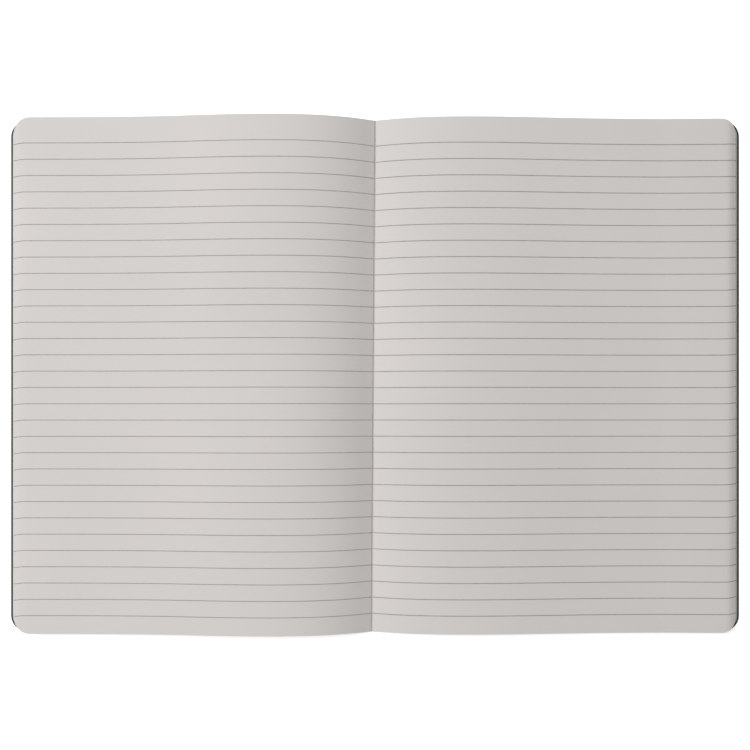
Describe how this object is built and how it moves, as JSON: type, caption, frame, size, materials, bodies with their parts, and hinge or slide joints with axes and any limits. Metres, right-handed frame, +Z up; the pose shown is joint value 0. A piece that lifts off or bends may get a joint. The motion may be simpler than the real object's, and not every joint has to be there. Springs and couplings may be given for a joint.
{
  "type": "open composition notebook",
  "caption": "Sewn composition notebook lying open at a blank ruled spread, thicker block of leaves on the left, round fore-edge corners.",
  "frame": {"origin": "on the table, under the middle of the open spread", "axes": "+X across the spread towards the right page's fore edge, +Y up the pages towards the head, +Z up from the table"},
  "size_m": [0.362, 0.254, 0.013],
  "materials": {
    "cover": "satin",
    "endpaper": "matte",
    "pages": "matte"
  },
  "bodies": {
    "back_half": {"back_cover": "cover", "back_endpaper": "endpaper", "right_pages": "pages"},
    "front_half": {"front_cover": "cover", "front_endpaper": "endpaper", "left_pages": "pages"}
  },
  "joints": [
    {"name": "front_cover_hinge", "type": "hinge", "parent": "back_half", "child": "front_half", "pos_m": [-0.0011, 0, 0.00095], "axis": [0, 1, 0], "range_deg": [0, 130]}
  ]
}
